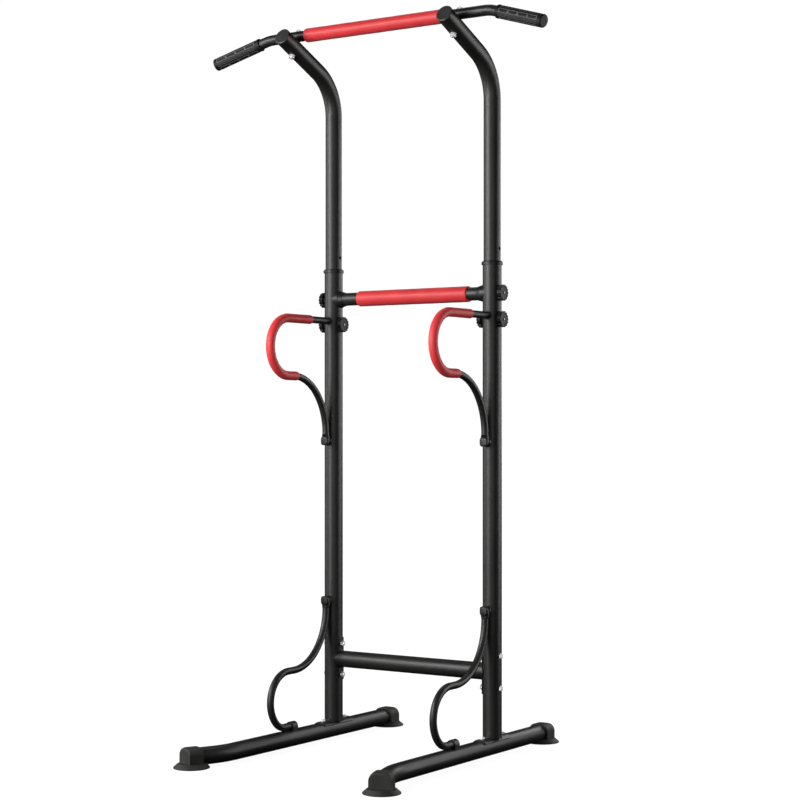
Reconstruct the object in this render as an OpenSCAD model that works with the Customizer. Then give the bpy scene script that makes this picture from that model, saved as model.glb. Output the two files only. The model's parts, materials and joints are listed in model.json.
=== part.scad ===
// Free-standing power tower: pull-up bar on a height-adjustable upper frame,
// dip handles, lower grab braces and suction feet. Millimetres, +Z up.
// The front is -Y, and the origin is on the floor in the middle of the footprint.

/* [Footprint] */
// Distance between the axes of the two uprights
upright_spacing = 507; // [470:1:540]
// Distance of the feet from the middle, front and rear
foot_y = 410; // [380:1:440]
// Distance of the uprights behind the middle
upright_y = 149; // [130:1:160]
// Height of the axis of the base tubes
base_z = 27; // [25:0.5:30]
// Outward turn of the front end of a base tube
toe_angle = 22; // [10:1:28]
// Radius of that bend
toe_bend_r = 190; // [150:5:240]
// Straight length from that bend to the middle of the front foot
toe_straight = 57.5; // [45:0.5:70]

/* [Tubes] */
// Diameter of the base tubes
base_od = 45; // [42:0.5:46]
// Diameter of the lower uprights
lower_od = 50; // [50:0.5:52]
// Diameter of the upper uprights, which slide in the lower ones
upper_od = 45; // [44:0.5:45]
// Wall of the base tubes and uprights
wall = 1.5; // [1.2:0.1:1.8]
// Diameter of the low crossbar
low_bar_od = 45; // [40:0.5:46]
// Diameter of the mid crossbar
mid_bar_od = 35; // [32:0.5:36]
// Diameter of the pull-up bar
pull_bar_od = 28; // [25:0.5:30]
// Wall of the pull-up bar
pull_bar_wall = 2; // [1.5:0.1:2.5]
// Diameter of the dip handles and braces
handle_od = 19; // [18:0.5:20]

/* [Heights] */
// Top of the lower uprights
lower_top = 1274; // [1260:1:1290]
// Axis of the low crossbar
low_bar_z = 219; // [205:1:235]
// Axis of the mid crossbar
mid_bar_z = 1201; // [1195:1:1207]
// Axis of the lower clamp knobs
knob_z = 1132.5; // [1131:0.5:1134]
// Axis of the top leg of a dip handle
handle_z = 1142.5; // [1140:0.5:1145]
// Axis of the lower bolt of a dip handle
handle_bolt_z = 815; // [813:1:817]
// Axis of the upper bolt of a brace
brace_bolt_z = 380; // [379:1:381]

/* [Upper frame] */
// Bottom of the upper uprights, inside the lower ones
upper_bottom = 1013; // [1012:1:1040]
// Height at which the straight parts of an upper upright would meet
corner_z = 1781.5; // [1700:0.5:1800]
// Forward lean of its top from the vertical
lean = 66; // [60:1:70]
// Radius of its bend
upper_bend_r = 125; // [100:1:140]
// Length from the corner to the end of the tube
upper_reach = 252; // [240:1:265]
// Length from the corner to the pull-up bar's bolt
bolt_reach = 196.8; // [190:0.1:200]
// Spacing of the height holes
hole_pitch = 61; // [61:1:61]
// Diameter of the height holes
hole_d = 9; // [8:0.5:10]

/* [Pull-up bar] */
// Half length of the straight middle
bar_half = 330; // [310:1:340]
// Downward turn of each end
bar_droop = 19; // [10:1:22]
// Radius of that bend
bar_bend_r = 100; // [80:1:120]
// Straight length after that bend, to the end of the grip
bar_end = 160; // [155:1:175]
// Length of a grip
grip_length = 149; // [135:1:150]
// Diameter of a grip
grip_d = 34; // [32:0.5:36]
// Half length of the foam sleeve
pull_foam_half = 223; // [200:1:224]
// Diameter of the foam sleeve
pull_foam_d = 37; // [34:0.5:40]

/* [Mid crossbar] */
// Half length of the foam sleeve
mid_foam_half = 175; // [150:1:190]
// How far the sleeve sits to the right of the middle
mid_foam_shift = 9; // [0:1:15]
// Diameter of the foam sleeve
mid_foam_d = 42; // [38:0.5:44]
// Diameter of the end cups
cup_d = 46; // [42:0.5:47]

/* [Dip handles and braces] */
// Distance from the upright's axis to the top of the loop
loop_reach = 206; // [200:1:212]
// Radius of the loop
loop_r = 76.5; // [70:0.5:78]
// Radius of the first bend of the leg
leg_r1 = 140; // [138:1:142]
// Radius of the second bend of the leg
leg_r2 = 160; // [158:1:162]
// Distance from the upright's axis to the leg's lower end
leg_y = 36.7; // [36:0.1:38]
// Diameter of the foam sleeve
handle_foam_d = 24.5; // [22:0.5:26]
// Turn of a brace's loop before its tighter last bend
brace_turn = 140; // [138:1:142]

/* [Feet] */
// Diameter of a suction disc
disc_d = 92; // [88:1:100]
// Width of the cap over a tube's end
cap_w = 57; // [56:0.5:60]
// Height of the cap
cap_top = 51.5; // [51:0.5:54]
// Length of the cap
cap_length = 40; // [36:1:44]
// Radius of the cap's upper corners
cap_corner_r = 15; // [10:1:20]

/* [Knobs] */
// Diameter of a knob
knob_d = 42; // [38:1:42]
// Thickness of a knob
knob_t = 11.5; // [11:0.5:13]
// Number of flutes in a knob's rim
flutes = 10; // [8:1:12]

/* [Hidden] */
$fn = 64;

steel = "#2b2b2b";
plastic = "#1d1d1d";
rubber = "#242424";
foam = "#dd4048";
zinc = "#c9ccce";

// A snug fit between pieces that are fixed to each other, and a sliding one
snug = 0.05;
slip = 0.1;

// How far one stretch of a bent tube laps over the next, and how much thicker it is
lap = 0.5;
lap_step = 0.1;

upright_x = upright_spacing / 2;
lower_r = lower_od / 2;
lower_id_r = lower_r - wall;
upper_r = upper_od / 2;
base_r = base_od / 2;

// M8 frame bolts
bolt_r = 4;
bolt_hole_r = 4.3;
bolt_head_r = 7.5;
bolt_head_h = 4;
nut_across = 13;
nut_h = 6.5;

// Base tubes: the tube runs 14 mm past the middle of each foot, inside its cap
tube_past_foot = 14;
toe_start_y = -foot_y + toe_bend_r * sin(toe_angle) + toe_straight * cos(toe_angle);
toe_x = upright_x + toe_bend_r * (1 - cos(toe_angle)) + toe_straight * sin(toe_angle);

// Bottom of a foot's cap, inside the disc
cap_foot_z = 8;

// Saddle flanges between the base tubes and the uprights
flange_t = 3;
flange_length = 130;
flange_half_angle = 52;
flange_bolt_y = 50;
flange_r = base_r + snug + flange_t;

// Low crossbar: bolted through each upright above and below the bar
plate_t = 2.5;
plate_half_angle = 50;
plate_height = 114;
low_bolt_spacing = 83.5;
plate_r = lower_r + snug + plate_t;

// Collars at the top of the lower uprights
collar_flange_d = 56;
collar_lip_d = 52;
collar_flange_h = 4.5;
collar_h = 10;
collar_sleeve = 40;

// Dip handles and braces
handle_r = handle_od / 2;
handle_wall = 1.5;
tab_t = 5;
tab_w = 22;
tab_flat = 12;
spacer_d = 25;
leg_cap_d = 25.5;
leg_cap_t = 7;
loop_straight = loop_reach - leg_y - leg_r1 * sin(45) - leg_r2 * (1 - cos(45));
leg_drop = leg_r1 * (1 - cos(45)) + leg_r2 * sin(45);
handle_leg_z = handle_z - 2 * loop_r - leg_drop;
brace_leg_z = handle_bolt_z + brace_bolt_z - handle_leg_z;
foam_start = 108;
foam_end_turn = 5.5;

// A brace ends lying on the base tube, in a socket. Its last bend brings it level there
brace_end_z = base_z + base_r + handle_r + snug;
brace_loop_z = brace_leg_z - leg_drop - loop_r;
brace_rest = 180 - brace_turn;
brace_last_r = (brace_loop_z - loop_r * cos(brace_rest) - brace_end_z) / (1 - cos(brace_rest));
brace_run_y = loop_reach + (loop_r - brace_last_r) * sin(brace_rest);
socket_front = 200;
socket_rear = 179;
socket_w = 26;
socket_top = 71;
socket_back_t = 2.5;
brace_end_straight = brace_run_y - socket_rear - socket_back_t - snug;

// Mid crossbar and its end cups
cup_cylinder_end = upright_x - 226.5;
cup_cone_end = upright_x - 214;
cup_mouth_d = mid_bar_od + 2.5;
mid_bar_half = upright_x - lower_r - 5;

// Upper uprights
upper_tangent = upper_bend_r * tan(lean / 2);
upper_straight = corner_z - upper_tangent - upper_bottom;
plug_t = 4;
height_holes = [-1 : 3];

// The pull-up bar lies on the backs of the leaning ends, held by one bolt through each
bar_lift = upper_r + pull_bar_od / 2;
grip_end_t = 4;
bar_x_end = bar_half + bar_bend_r * sin(bar_droop);
washer_t = 1.6;
arch_washer_r = 8;

// Clamp knobs: name, side of the tower, side of the upright, height
KNOBS = [
    ["mid_left", -1, -1, mid_bar_z], ["mid_right", 1, 1, mid_bar_z],
    ["left_outer", -1, -1, knob_z], ["left_inner", -1, 1, knob_z],
    ["right_outer", 1, 1, knob_z], ["right_inner", 1, -1, knob_z]
];
knob_gap = 0.3;
stud_r = 5;
stud_tip_gap = 0.15;
knob_recess_r = 12;
knob_recess = 6.5;
weld_nut_across = 16;
weld_nut_h = 5;
stud_grip_r = 6.5;
stud_grip_h = 3;
pin_r = 2.6;
flute_r = 3.2;

// Draws the right-hand piece, or its mirror image for the left
module on_side(side) {
    if (side < 0) mirror([1, 0, 0]) children();
    else children();
}

// Draws both pieces of a pair
module pair() {
    children();
    mirror([1, 0, 0]) children();
}

module ring(r, hole_r) {
    difference() {
        circle(r = r);
        circle(r = hole_r);
    }
}

// A bent rod that starts at the origin along +Z. A step is [length] for a straight stretch
// or [radius, angle] for a bend in the XZ plane, towards +X if the angle is positive.
// Every other step is a hair thicker and laps over its neighbours, so all of them join.
// Both ends run on by the length past
module bent_rod(steps, r, past = 0, i = 0) {
    step = steps[i];
    last = i == len(steps) - 1;
    thick = i % 2 == 0;
    before = i == 0 ? past : thick ? lap : 0;
    after = last ? past : thick ? lap : 0;
    step_r = thick ? r : r - lap_step;
    if (len(step) == 1) {
        translate([0, 0, -before]) cylinder(r = step_r, h = step[0] + before + after);
        if (!last) translate([0, 0, step[0]]) bent_rod(steps, r, past, i + 1);
    } else {
        way = sign(step[1]);
        turn = abs(step[1]);
        angle_before = before / step[0] * 180 / PI;
        angle_after = after / step[0] * 180 / PI;
        start = way > 0 ? 180 - turn - angle_after : -angle_before;
        translate([way * step[0], 0, 0]) rotate([90, 0, 0]) rotate([0, 0, start])
            rotate_extrude(angle = turn + angle_before + angle_after)
                translate([step[0], 0]) circle(r = step_r);
        if (!last)
            translate([way * step[0] * (1 - cos(turn)), 0, step[0] * sin(turn)])
                rotate([0, way * turn, 0]) bent_rod(steps, r, past, i + 1);
    }
}

module bent_tube(steps, r, hole_r) {
    difference() {
        bent_rod(steps, r);
        bent_rod(steps, hole_r, 1);
    }
}

module hexagon(across) {
    circle(r = across / 2 / cos(30), $fn = 6);
}

module nut(across, h, bore_r) {
    difference() {
        linear_extrude(height = h) hexagon(across);
        translate([0, 0, -1]) cylinder(r = bore_r, h = h + 2);
    }
}

// A bolt with a low round head above z = 0 and its shank below
module bolt(length) {
    rotate_extrude() polygon([
        [0, -length], [bolt_r, -length], [bolt_r, 0], [bolt_head_r, 0],
        [bolt_head_r, bolt_head_h * 0.4], [bolt_head_r * 0.72, bolt_head_h * 0.85],
        [bolt_head_r * 0.4, bolt_head_h], [0, bolt_head_h]
    ]);
}

// Base --------------------------------------------------------------------------------

module at_base_tube() {
    translate([upright_x, foot_y + tube_past_foot, base_z]) rotate([90, 0, 0]) children();
}

module base_tube(side) {
    steps = [
        [foot_y + tube_past_foot - toe_start_y], [toe_bend_r, toe_angle],
        [toe_straight + tube_past_foot]
    ];
    color(steel) on_side(side) difference() {
        at_base_tube() bent_tube(steps, base_r, base_r - wall);
        for (way = [-1, 1])
            translate([upright_x, upright_y + way * flange_bolt_y, base_z])
                cylinder(r = bolt_hole_r, h = base_r + 5);
    }
}

// The cross-section of a foot's cap: flat on top, with round upper corners
module cap_section() {
    round_x = cap_w / 2 - cap_corner_r;
    round_z = cap_top - cap_corner_r;
    translate([-cap_w / 2, cap_foot_z]) square([cap_w, round_z - cap_foot_z]);
    translate([-round_x, cap_foot_z]) square([2 * round_x, cap_top - cap_foot_z]);
    for (way = [-1, 1]) translate([way * round_x, round_z]) circle(r = cap_corner_r);
}

// A foot, with its tube coming in along -Y: a suction disc under the cap
module foot() {
    hub_r = cap_w / 2;
    color(rubber) difference() {
        union() {
            rotate_extrude() polygon([
                [0, 0], [disc_d / 2 - 1, 0], [disc_d / 2, 1], [disc_d / 2, 3],
                [disc_d / 2 - 2, 4.5], [hub_r + 6, 9], [hub_r, 16], [0, 16]
            ]);
            translate([0, cap_length / 2, 0]) rotate([90, 0, 0])
                linear_extrude(height = cap_length) cap_section();
        }
        translate([0, tube_past_foot + snug, base_z]) rotate([90, 0, 0])
            cylinder(r = base_r + snug, h = disc_d);
        translate([0, 0, -1]) cylinder(r1 = 30, r2 = 22, h = 3.5);
    }
}

module foot_front(side) {
    on_side(side) translate([toe_x, -foot_y, 0]) rotate([0, 0, 180 + toe_angle]) foot();
}

module foot_rear(side) {
    on_side(side) translate([upright_x, foot_y, 0]) foot();
}

module upright_flanges() {
    color(steel) pair() translate([upright_x, upright_y, base_z]) difference() {
        translate([0, flange_length / 2, 0]) rotate([90, 0, 0]) rotate([0, 0, 90 - flange_half_angle])
            rotate_extrude(angle = 2 * flange_half_angle)
                translate([base_r + snug, 0]) square([flange_t, flange_length]);
        for (way = [-1, 1]) translate([0, way * flange_bolt_y, 0])
            cylinder(r = bolt_hole_r, h = 2 * base_r);
    }
}

module lower_upright(side) {
    color(steel) on_side(side) difference() {
        translate([upright_x, upright_y, base_z + base_r])
            cylinder(r = lower_r, h = lower_top - base_z - base_r);
        translate([upright_x, upright_y, base_z]) cylinder(r = lower_id_r, h = lower_top);
        translate([upright_x, upright_y + lower_od, base_z]) rotate([90, 0, 0])
            cylinder(r = flange_r + snug, h = 2 * lower_od);
        translate([upright_x, upright_y, handle_z]) rotate([90, 0, 0])
            cylinder(r = handle_r + snug, h = lower_od);
        for (z = [handle_bolt_z, brace_bolt_z]) translate([upright_x, upright_y, z])
            rotate([90, 0, 0]) cylinder(r = bolt_hole_r, h = lower_od);
        for (way = [-1, 1]) translate([upright_x - lower_od, upright_y, low_bolt_z(way)])
            rotate([0, 90, 0]) cylinder(r = bolt_hole_r, h = 2 * lower_od);
        translate([upright_x, upright_y, mid_bar_z]) rotate([0, 90, 0])
            cylinder(r = stud_r + slip, h = lower_od);
        translate([upright_x - lower_od, upright_y, knob_z]) rotate([0, 90, 0])
            cylinder(r = stud_r + slip, h = 2 * lower_od);
    }
}

function low_bolt_z(way) = low_bar_z + way * low_bolt_spacing / 2;

module frame_bolts() {
    color(zinc) pair() {
        for (way = [-1, 1]) {
            translate([upright_x, upright_y + way * flange_bolt_y, base_z + flange_r])
                bolt(flange_t + wall + nut_h + 3);
            translate([upright_x + lower_r, upright_y, low_bolt_z(way)]) rotate([0, 90, 0])
                bolt(lower_od + plate_t + nut_h + 2);
        }
    }
}

module frame_nuts() {
    color(zinc) pair() {
        for (way = [-1, 1]) {
            translate([upright_x, upright_y + way * flange_bolt_y, base_z + base_r - wall - nut_h - 1.2])
                nut(nut_across, nut_h, bolt_r + snug);
            translate([upright_x - plate_r - nut_h, upright_y, low_bolt_z(way)]) rotate([0, 90, 0])
                nut(nut_across, nut_h, bolt_r + snug);
        }
    }
}

module low_crossbar() {
    color(steel) difference() {
        translate([-upright_x, upright_y, low_bar_z]) rotate([0, 90, 0])
            linear_extrude(height = upright_spacing) ring(low_bar_od / 2, low_bar_od / 2 - wall);
        for (side = [-1, 1]) translate([side * upright_x, upright_y, low_bar_z - low_bar_od])
            cylinder(r = plate_r + snug, h = 2 * low_bar_od);
    }
}

module crossbar_plates() {
    color(steel) pair() difference() {
        translate([upright_x, upright_y, low_bar_z - plate_height / 2])
            rotate([0, 0, 180 - plate_half_angle]) rotate_extrude(angle = 2 * plate_half_angle)
                translate([lower_r + snug, 0]) square([plate_t, plate_height]);
        for (way = [-1, 1]) translate([0, upright_y, low_bolt_z(way)]) rotate([0, 90, 0])
            cylinder(r = bolt_hole_r, h = upright_x);
    }
}

module collar(side) {
    sleeve_r = lower_id_r - snug;
    color(plastic) on_side(side) translate([upright_x, upright_y, lower_top])
        rotate_extrude() polygon([
            [upper_r + slip, -collar_sleeve], [sleeve_r, -collar_sleeve], [sleeve_r, 0],
            [collar_flange_d / 2 - 0.6, 0], [collar_flange_d / 2, 0.6],
            [collar_flange_d / 2, collar_flange_h - 0.6], [collar_flange_d / 2 - 0.6, collar_flange_h],
            [collar_lip_d / 2, collar_flange_h], [collar_lip_d / 2, collar_h - 1],
            [collar_lip_d / 2 - 1, collar_h], [upper_r + slip, collar_h]
        ]);
}

// Dip handles and braces --------------------------------------------------------------

// The flattened end of a tube: its bolt hole is at the origin, along Y, and the tube goes on
// upwards from the given height
module flat_end(tube_start) {
    taper = tube_start - tab_flat;
    difference() {
        union() {
            rotate([90, 0, 0]) translate([0, 0, -tab_t / 2]) cylinder(d = tab_w, h = tab_t);
            translate([-tab_w / 2, -tab_t / 2, 0]) cube([tab_w, tab_t, tab_flat + 1]);
            translate([0, 0, tab_flat]) intersection() {
                cylinder(r1 = tab_w / 2, r2 = handle_r + 0.1, h = taper);
                rotate([90, 0, 90]) translate([0, 0, -tab_w]) linear_extrude(height = 2 * tab_w)
                    polygon([
                        [-tab_t / 2, 0], [tab_t / 2, 0], [handle_r + 1, taper], [-handle_r - 1, taper]
                    ]);
            }
        }
        rotate([90, 0, 0]) translate([0, 0, -tab_t]) cylinder(r = bolt_hole_r, h = 2 * tab_t);
    }
}

module dip_handle(side) {
    steps = [[loop_reach], [loop_r, 180], [loop_straight], [leg_r1, -45], [leg_r2, -45], [1]];
    color(steel) on_side(side) translate([upright_x, upright_y, 0]) {
        difference() {
            translate([0, 0, handle_z]) rotate([90, 0, 0]) rotate([0, 0, -90])
                bent_tube(steps, handle_r, handle_r - handle_wall);
            translate([0, 0, handle_z - lower_od]) cylinder(r = lower_id_r, h = 2 * lower_od);
        }
        translate([0, -leg_y, handle_bolt_z]) flat_end(handle_leg_z - handle_bolt_z);
    }
}

module dip_foam(side) {
    steps = [
        [loop_reach - foam_start], [loop_r, 180], [loop_straight], [leg_r1, -foam_end_turn]
    ];
    color(foam) on_side(side) translate([upright_x, upright_y - foam_start, handle_z])
        rotate([90, 0, 0]) rotate([0, 0, -90])
            bent_tube(steps, handle_foam_d / 2, handle_r + snug);
}

module brace(side) {
    steps = [
        [1], [leg_r2, 45], [leg_r1, 45], [loop_straight], [loop_r, -brace_turn],
        [brace_last_r, -brace_rest], [brace_end_straight]
    ];
    color(steel) on_side(side) translate([upright_x, upright_y, 0]) {
        translate([0, -leg_y, brace_leg_z + 1]) rotate([180, 0, 0]) rotate([0, 0, 90])
            bent_tube(steps, handle_r, handle_r - handle_wall);
        translate([0, -leg_y, brace_bolt_z]) rotate([180, 0, 0]) flat_end(brace_bolt_z - brace_leg_z);
    }
}

module brace_sockets() {
    arch_r = socket_w / 2;
    color(steel) pair() translate([upright_x, upright_y, 0]) difference() {
        translate([0, -socket_rear, 0]) rotate([90, 0, 0])
            linear_extrude(height = socket_front - socket_rear) union() {
                translate([0, socket_top - arch_r]) circle(r = arch_r);
                translate([-arch_r, base_z]) square([socket_w, socket_top - arch_r - base_z]);
            }
        translate([0, -socket_rear - socket_back_t, brace_end_z]) rotate([90, 0, 0])
            cylinder(r = handle_r + snug, h = socket_w);
        translate([0, 0, base_z]) rotate([90, 0, 0]) cylinder(r = base_r + snug, h = 2 * socket_front);
    }
}

// The places of the four leg bolts, with +Z pointing forward out of the upright
module at_leg_bolts() {
    pair() for (z = [handle_bolt_z, brace_bolt_z])
        translate([upright_x, upright_y, z]) rotate([90, 0, 0]) children();
}

module leg_spacers() {
    color(steel) at_leg_bolts() difference() {
        cylinder(d = spacer_d, h = leg_y - tab_t / 2);
        rotate([90, 0, 0]) translate([0, 0, -spacer_d]) cylinder(r = lower_r + snug, h = 2 * spacer_d);
        cylinder(r = bolt_hole_r, h = leg_y);
    }
}

module leg_bolts() {
    inside = lower_id_r - nut_h - 2;
    color(steel) at_leg_bolts() {
        translate([0, 0, inside]) cylinder(r = bolt_r, h = leg_y + tab_t / 2 - inside);
        translate([0, 0, leg_y + tab_t / 2]) linear_extrude(height = 4) hexagon(nut_across);
    }
}

module leg_caps() {
    front = leg_y + tab_t / 2;
    color(plastic) at_leg_bolts() difference() {
        translate([0, 0, front]) rotate_extrude() polygon([
            [0, 0], [leg_cap_d / 2, 0], [leg_cap_d / 2, leg_cap_t - 2], [leg_cap_d / 2 - 2, leg_cap_t],
            [0, leg_cap_t]
        ]);
        translate([0, 0, front - 1]) linear_extrude(height = 5 + snug) hexagon(nut_across + 2 * snug);
    }
}

// Mid crossbar ------------------------------------------------------------------------

module along_x(half) {
    translate([-half, 0, 0]) rotate([0, 90, 0]) children();
}

module mid_crossbar() {
    color(steel) translate([0, upright_y, mid_bar_z]) along_x(mid_bar_half)
        linear_extrude(height = 2 * mid_bar_half) ring(mid_bar_od / 2, mid_bar_od / 2 - wall);
}

module mid_foam() {
    color(foam) translate([mid_foam_shift, upright_y, mid_bar_z]) along_x(mid_foam_half)
        linear_extrude(height = 2 * mid_foam_half) ring(mid_foam_d / 2, mid_bar_od / 2 + snug);
}

module crossbar_cup(side) {
    color(plastic) on_side(side) difference() {
        translate([upright_x, upright_y, mid_bar_z]) rotate([0, -90, 0]) rotate_extrude() polygon([
            [0, 0], [cup_d / 2, 0], [cup_d / 2, cup_cylinder_end - 1],
            [cup_d / 2 - 1, cup_cylinder_end], [cup_mouth_d / 2, cup_cone_end], [0, cup_cone_end]
        ]);
        translate([upright_x, upright_y, mid_bar_z - cup_d])
            cylinder(r = lower_r + snug, h = 2 * cup_d);
        translate([mid_bar_half + snug - cup_cone_end, upright_y, mid_bar_z]) rotate([0, 90, 0])
            cylinder(r = mid_bar_od / 2 + snug, h = cup_cone_end);
    }
}

// Upper frame -------------------------------------------------------------------------

// The leaning top of the right upper upright: origin at the corner, +Z along the tube's
// axis towards its end, and +X across the top of the tube, away from the floor
module at_lean() {
    translate([upright_x, upright_y, corner_z]) rotate([lean, 0, 0]) rotate([0, 0, 90]) children();
}

module at_bar_bolt() {
    at_lean() translate([0, 0, bolt_reach]) rotate([0, 90, 0]) children();
}

module upper_upright(side) {
    steps = [[upper_straight], [upper_bend_r, lean], [upper_reach - upper_tangent]];
    color(steel) on_side(side) difference() {
        translate([upright_x, upright_y, upper_bottom]) rotate([0, 0, -90])
            bent_tube(steps, upper_r, upper_r - wall);
        for (k = height_holes)
            translate([upright_x - upper_od, upright_y, knob_z + k * hole_pitch])
                rotate([0, 90, 0]) cylinder(d = hole_d, h = 2 * upper_od);
        at_bar_bolt() translate([0, 0, -upper_od]) cylinder(r = bolt_hole_r, h = 2 * upper_od);
    }
}

module top_plugs() {
    color(plastic) pair() at_lean() translate([0, 0, upper_reach]) rotate_extrude() polygon([
        [0, -15], [upper_r - wall - snug, -15], [upper_r - wall - snug, 0], [upper_r, 0],
        [upper_r, plug_t - 1.5], [upper_r - 1.5, plug_t], [0, plug_t]
    ]);
}

module guide_bushes() {
    color(plastic) pair() translate([upright_x, upright_y, upper_bottom]) rotate_extrude() polygon([
        [16, -6], [lower_id_r - slip, -6], [lower_id_r - slip, -snug], [upper_r - wall - snug, -snug],
        [upper_r - wall - snug, 30], [16, 30]
    ]);
}

// The middle of the pull-up bar, with +X along the bar and +Z away from the uprights
module at_bar() {
    translate([0, upright_y, corner_z]) rotate([lean, 0, 0])
        translate([0, bar_lift, bolt_reach]) rotate([-90, 0, 0]) children();
}

// A straight middle with a drooping bend and a straight end on either side
module bar_rod(r, past) {
    at_bar() {
        along_x(bar_half + lap) cylinder(r = r, h = 2 * (bar_half + lap));
        pair() translate([bar_half, 0, 0]) rotate([0, 90, 0])
            bent_rod([[0], [bar_bend_r, bar_droop], [bar_end - grip_end_t]], r, past, 1);
    }
}

module pull_up_bar() {
    color(steel) difference() {
        bar_rod(pull_bar_od / 2, 0);
        bar_rod(pull_bar_od / 2 - pull_bar_wall, 1);
        pair() at_bar_bolt() cylinder(r = bolt_hole_r, h = 2 * bar_lift);
    }
}

module pull_up_foam() {
    color(foam) at_bar() along_x(pull_foam_half) linear_extrude(height = 2 * pull_foam_half)
        ring(pull_foam_d / 2, pull_bar_od / 2 + snug);
}

module grip(side) {
    grip_r = grip_d / 2;
    color(rubber) on_side(side) at_bar() rotate([0, 90, 0])
        translate([bar_bend_r * (1 - cos(bar_droop)), 0, bar_x_end]) rotate([0, bar_droop, 0])
            translate([0, 0, bar_end]) rotate_extrude() polygon([
                [0, 0], [grip_r - 5, 0], [grip_r - 1.5, -1.5], [grip_r, -5], [grip_r, -grip_length + 4],
                [grip_r + 1, -grip_length + 4], [grip_r + 1, -grip_length],
                [pull_bar_od / 2 + snug, -grip_length], [pull_bar_od / 2 + snug, snug - grip_end_t],
                [0, snug - grip_end_t]
            ]);
}

bar_top = bar_lift + pull_bar_od / 2;

module arch_washers() {
    color(zinc) pair() at_bar_bolt() {
        difference() {
            translate([0, 0, bar_top - 2]) cylinder(r = arch_washer_r, h = 2 + washer_t);
            translate([0, 0, bar_lift]) rotate([90, 0, 0]) translate([0, 0, -arch_washer_r * 2])
                cylinder(r = pull_bar_od / 2 + snug, h = 4 * arch_washer_r);
            cylinder(r = bolt_hole_r, h = 2 * bar_top);
        }
        difference() {
            translate([0, 0, -upper_r - washer_t]) cylinder(r = arch_washer_r, h = 2 + washer_t);
            rotate([0, 90, 0]) translate([0, 0, -arch_washer_r * 2])
                cylinder(r = upper_r + snug, h = 4 * arch_washer_r);
            translate([0, 0, -upper_od]) cylinder(r = bolt_hole_r, h = upper_od);
        }
    }
}

module pull_up_bolts() {
    color(zinc) pair() at_bar_bolt() translate([0, 0, bar_top + washer_t])
        bolt(bar_top + upper_r + 2 * washer_t + nut_h + 2);
}

module pull_up_nuts() {
    color(zinc) pair() at_bar_bolt() translate([0, 0, -upper_r - washer_t - nut_h])
        nut(nut_across, nut_h, bolt_r + snug);
}

// Clamp knobs -------------------------------------------------------------------------

// The place of a knob, with +Z pointing out of the upright along its screw
module at_knob(k) {
    translate([k[1] * upright_x, upright_y, k[3]]) rotate([0, k[2] * 90, 0]) children();
}

knob_base = lower_r + knob_gap;
knob_floor = knob_base + knob_recess;
knob_face = knob_base + knob_t;

module weld_nuts() {
    color(zinc) for (k = KNOBS) at_knob(k) difference() {
        translate([0, 0, lower_r - 3]) nut(weld_nut_across, weld_nut_h + 3, stud_r + snug);
        rotate([0, 90, 0]) translate([0, 0, -weld_nut_across])
            cylinder(r = lower_r + snug, h = 2 * weld_nut_across);
    }
}

module stud(k) {
    color(zinc) at_knob(k) rotate_extrude() polygon([
        [0, upper_r + stud_tip_gap], [stud_r - 1.5, upper_r + stud_tip_gap],
        [stud_r - 1.5, upper_r + 1.6], [stud_r, upper_r + 3], [stud_r, knob_floor + 0.5],
        [stud_grip_r, knob_floor + 0.5], [stud_grip_r, knob_floor + 0.5 + stud_grip_h],
        [pin_r, knob_floor + 0.5 + stud_grip_h], [pin_r, knob_face + 0.4], [0, knob_face + 0.4]
    ]);
}

module washer(k) {
    color(plastic) at_knob(k) translate([0, 0, knob_floor - 1]) linear_extrude(height = 0.8)
        ring(knob_recess_r - 1, stud_r + 0.15);
}

module knob(k) {
    color(plastic) at_knob(k) difference() {
        rotate_extrude() polygon([
            [stud_r + snug, knob_floor], [knob_recess_r, knob_floor], [knob_recess_r, knob_base],
            [knob_d / 2 - 1, knob_base], [knob_d / 2, knob_base + 1], [knob_d / 2, knob_face - 1.5],
            [knob_d / 2 - 1.5, knob_face], [pin_r + snug, knob_face],
            [pin_r + snug, knob_floor + 0.5 + stud_grip_h + snug],
            [stud_grip_r + snug, knob_floor + 0.5 + stud_grip_h + snug],
            [stud_grip_r + snug, knob_floor + 0.5 - snug], [stud_r + snug, knob_floor + 0.5 - snug]
        ]);
        for (i = [0 : flutes - 1]) rotate([0, 0, i * 360 / flutes])
            translate([knob_d / 2 + flute_r * 0.45, 0, knob_base - 1]) cylinder(r = flute_r, h = knob_t + 2);
    }
}

base_tube(-1);  // base_tube_left
base_tube(1);  // base_tube_right
foot_front(-1);  // foot_front_left
foot_front(1);  // foot_front_right
foot_rear(-1);  // foot_rear_left
foot_rear(1);  // foot_rear_right
lower_upright(-1);  // lower_upright_left
lower_upright(1);  // lower_upright_right
upright_flanges();
frame_bolts();
frame_nuts();
low_crossbar();
crossbar_plates();
collar(-1);  // collar_left
collar(1);  // collar_right
dip_handle(-1);  // dip_handle_left
dip_handle(1);  // dip_handle_right
dip_foam(-1);  // dip_foam_left
dip_foam(1);  // dip_foam_right
brace(-1);  // brace_left
brace(1);  // brace_right
brace_sockets();
leg_spacers();
leg_bolts();
leg_caps();
mid_crossbar();
mid_foam();
crossbar_cup(-1);  // crossbar_cup_left
crossbar_cup(1);  // crossbar_cup_right
weld_nuts();
upper_upright(-1);  // upper_upright_left
upper_upright(1);  // upper_upright_right
top_plugs();
guide_bushes();
pull_up_bar();
pull_up_foam();
grip(-1);  // grip_left
grip(1);  // grip_right
pull_up_bolts();
pull_up_nuts();
arch_washers();
for (k = KNOBS) {
    knob(k);
    stud(k);
    washer(k);
}
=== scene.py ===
import json
import math

import bmesh
import bpy
import numpy as np
from mathutils import Matrix, Vector


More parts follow.
